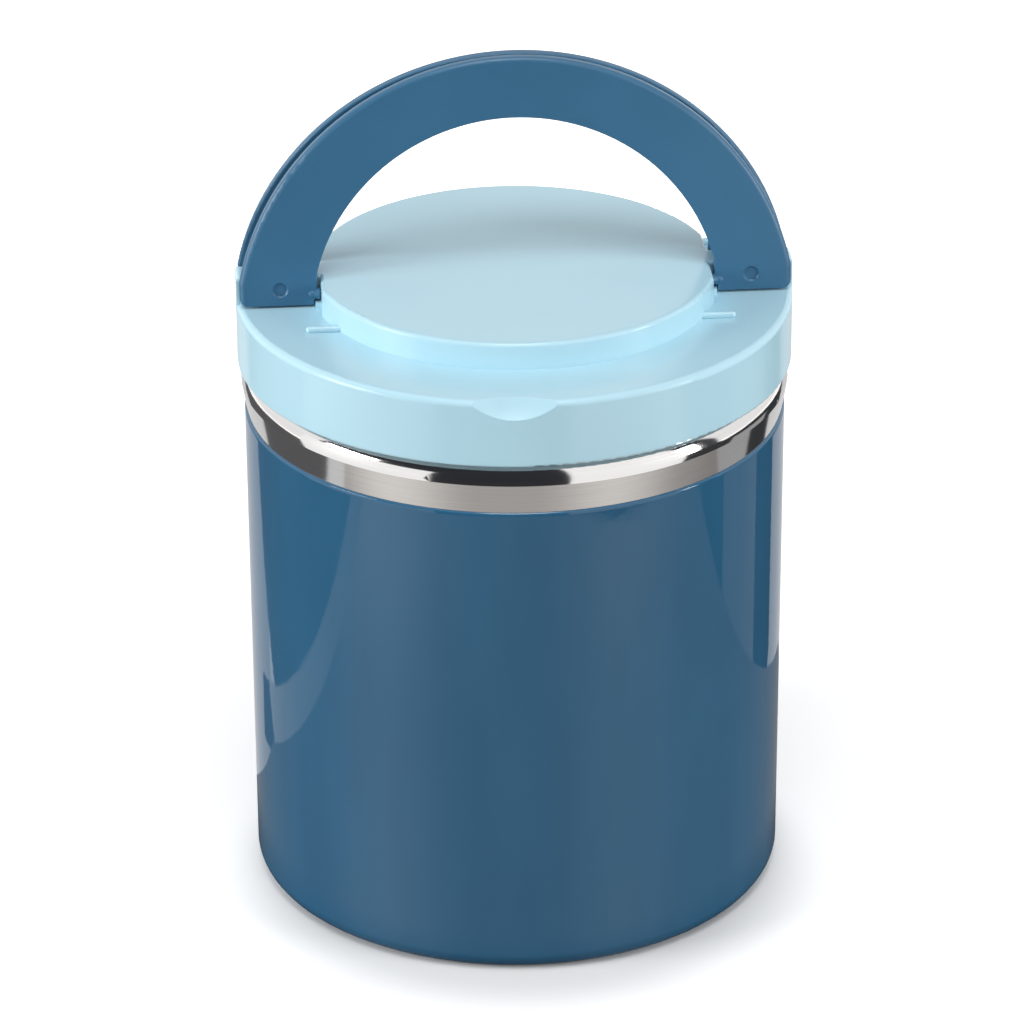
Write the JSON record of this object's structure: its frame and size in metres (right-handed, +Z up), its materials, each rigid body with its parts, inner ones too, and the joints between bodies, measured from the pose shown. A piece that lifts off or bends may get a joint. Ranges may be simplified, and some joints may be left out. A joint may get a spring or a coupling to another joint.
{
  "type": "stackable lunch box",
  "caption": "Round insulated lunch pail with a steel pot, bowls stacked inside, and a lid whose paired half-ring handles fold flat round a raised disc.",
  "frame": {"origin": "centre of the base, on the plane it stands on", "axes": "+Z up along the pail's axis, -Y to the front where the pictured thumb scoop is, X along the handles' axles"},
  "size_m": [0.138, 0.138, 0.2187],
  "materials": {
    "shell_blue": "glossy moulded plastic",
    "handle_blue": "semi-gloss moulded plastic",
    "lid_blue": "glossy moulded plastic",
    "polished_steel": "mirror-polished stainless steel",
    "steel": "satin stainless steel",
    "clear_white": "milky moulded plastic",
    "liner_white": "satin moulded plastic",
    "foam": "light expanded foam",
    "silicone": "soft silicone"
  },
  "bodies": {
    "pail": {"outer_shell": "shell_blue", "insulation_sleeve": "foam", "inner_pot": "steel", "collar_ring": "polished_steel"},
    "lower_bowl": {"lower_bowl": "steel"},
    "upper_bowl": {"upper_bowl": "steel"},
    "bowl_lid": {"bowl_lid": "clear_white", "bowl_seal": "silicone"},
    "lid": {"lid_cover": "lid_blue", "lid_liner": "liner_white", "lid_insulation": "foam", "lid_seal": "silicone"},
    "front_handle": {"front_handle": "handle_blue"},
    "rear_handle": {"rear_handle": "handle_blue"}
  },
  "joints": [
    {"name": "lower_bowl_lift", "type": "slide", "parent": "pail", "child": "lower_bowl", "axis": [0, 0, 1], "range_m": [0, 0.15]},
    {"name": "upper_bowl_lift", "type": "slide", "parent": "lower_bowl", "child": "upper_bowl", "axis": [0, 0, 1], "range_m": [0, 0.04]},
    {"name": "bowl_lid_lift", "type": "slide", "parent": "upper_bowl", "child": "bowl_lid", "axis": [0, 0, 1], "range_m": [0, 0.03]},
    {"name": "lid_lift", "type": "slide", "parent": "bowl_lid", "child": "lid", "axis": [0, 0, 1], "range_m": [0, 0.06]},
    {"name": "front_handle_fold", "type": "hinge", "parent": "lid", "child": "front_handle", "pos_m": [0, -0.0071, 0.1601], "axis": [1, 0, 0], "range_deg": [0, 94]},
    {"name": "rear_handle_fold", "type": "hinge", "parent": "lid", "child": "rear_handle", "pos_m": [0, 0.0071, 0.1601], "axis": [-1, 0, 0], "range_deg": [0, 94]}
  ]
}
